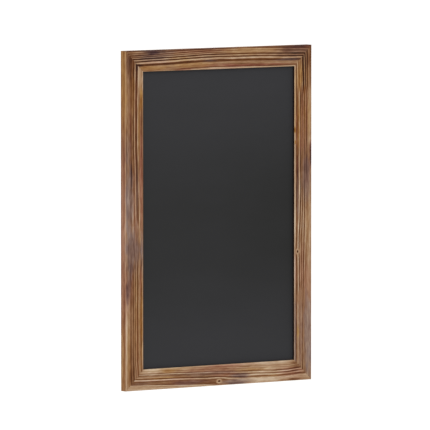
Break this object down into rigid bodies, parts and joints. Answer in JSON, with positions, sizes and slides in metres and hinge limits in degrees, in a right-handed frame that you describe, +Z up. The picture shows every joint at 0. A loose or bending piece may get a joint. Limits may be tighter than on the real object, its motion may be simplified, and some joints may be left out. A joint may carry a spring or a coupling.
{
  "type": "wall chalkboard",
  "caption": "Upright wall chalkboard: a mitred, torched softwood frame round a matte black steel writing sheet, hung by folding rings on its back.",
  "frame": {"origin": "on the back plane of the frame, midway between the pivots of the two hanging rings, 150 mm below the top edge", "axes": "+Z up as the board hangs, +Y out of the back towards the wall, +X to the right for someone facing the writing side"},
  "size_m": [0.508, 0.0247, 0.762],
  "materials": {
    "torched_softwood": "torched, brushed, clear matte",
    "chalk_coating": "matte chalk coating",
    "hardboard": "raw hardboard",
    "spring_steel": "bright spring steel",
    "zinc_plated_steel": "bright zinc plated",
    "black_rubber": "matte"
  },
  "bodies": {
    "board": {"top_rail": "torched_softwood", "bottom_rail": "torched_softwood", "left_stile": "torched_softwood", "right_stile": "torched_softwood", "writing_sheet": "chalk_coating", "backing_board": "hardboard", "top_left_v_nail_1": "spring_steel", "top_left_v_nail_2": "spring_steel", "top_right_v_nail_1": "spring_steel", "top_right_v_nail_2": "spring_steel", "bottom_left_v_nail_1": "spring_steel", "bottom_left_v_nail_2": "spring_steel", "bottom_right_v_nail_1": "spring_steel", "bottom_right_v_nail_2": "spring_steel", "top_rail_point_1": "spring_steel", "top_rail_point_2": "spring_steel", "top_rail_point_3": "spring_steel", "bottom_rail_point_1": "spring_steel", "bottom_rail_point_2": "spring_steel", "bottom_rail_point_3": "spring_steel", "left_stile_point_1": "spring_steel", "left_stile_point_2": "spring_steel", "left_stile_point_3": "spring_steel", "left_stile_point_4": "spring_steel", "right_stile_point_1": "spring_steel", "right_stile_point_2": "spring_steel", "right_stile_point_3": "spring_steel", "right_stile_point_4": "spring_steel", "left_hanger_strap": "zinc_plated_steel", "left_upper_hanger_screw": "zinc_plated_steel", "left_lower_hanger_screw": "zinc_plated_steel", "right_hanger_strap": "zinc_plated_steel", "right_upper_hanger_screw": "zinc_plated_steel", "right_lower_hanger_screw": "zinc_plated_steel", "left_bumper": "black_rubber", "right_bumper": "black_rubber"},
    "left_ring": {"left_hanger_ring": "zinc_plated_steel"},
    "right_ring": {"right_hanger_ring": "zinc_plated_steel"}
  },
  "joints": [
    {"name": "left_ring_swing", "type": "hinge", "parent": "board", "child": "left_ring", "pos_m": [-0.23475, 0.0025, 0], "axis": [1, 0, 0], "range_deg": [0, 176]},
    {"name": "right_ring_swing", "type": "hinge", "parent": "board", "child": "right_ring", "pos_m": [0.23475, 0.0025, 0], "axis": [1, 0, 0], "range_deg": [0, 176]}
  ]
}
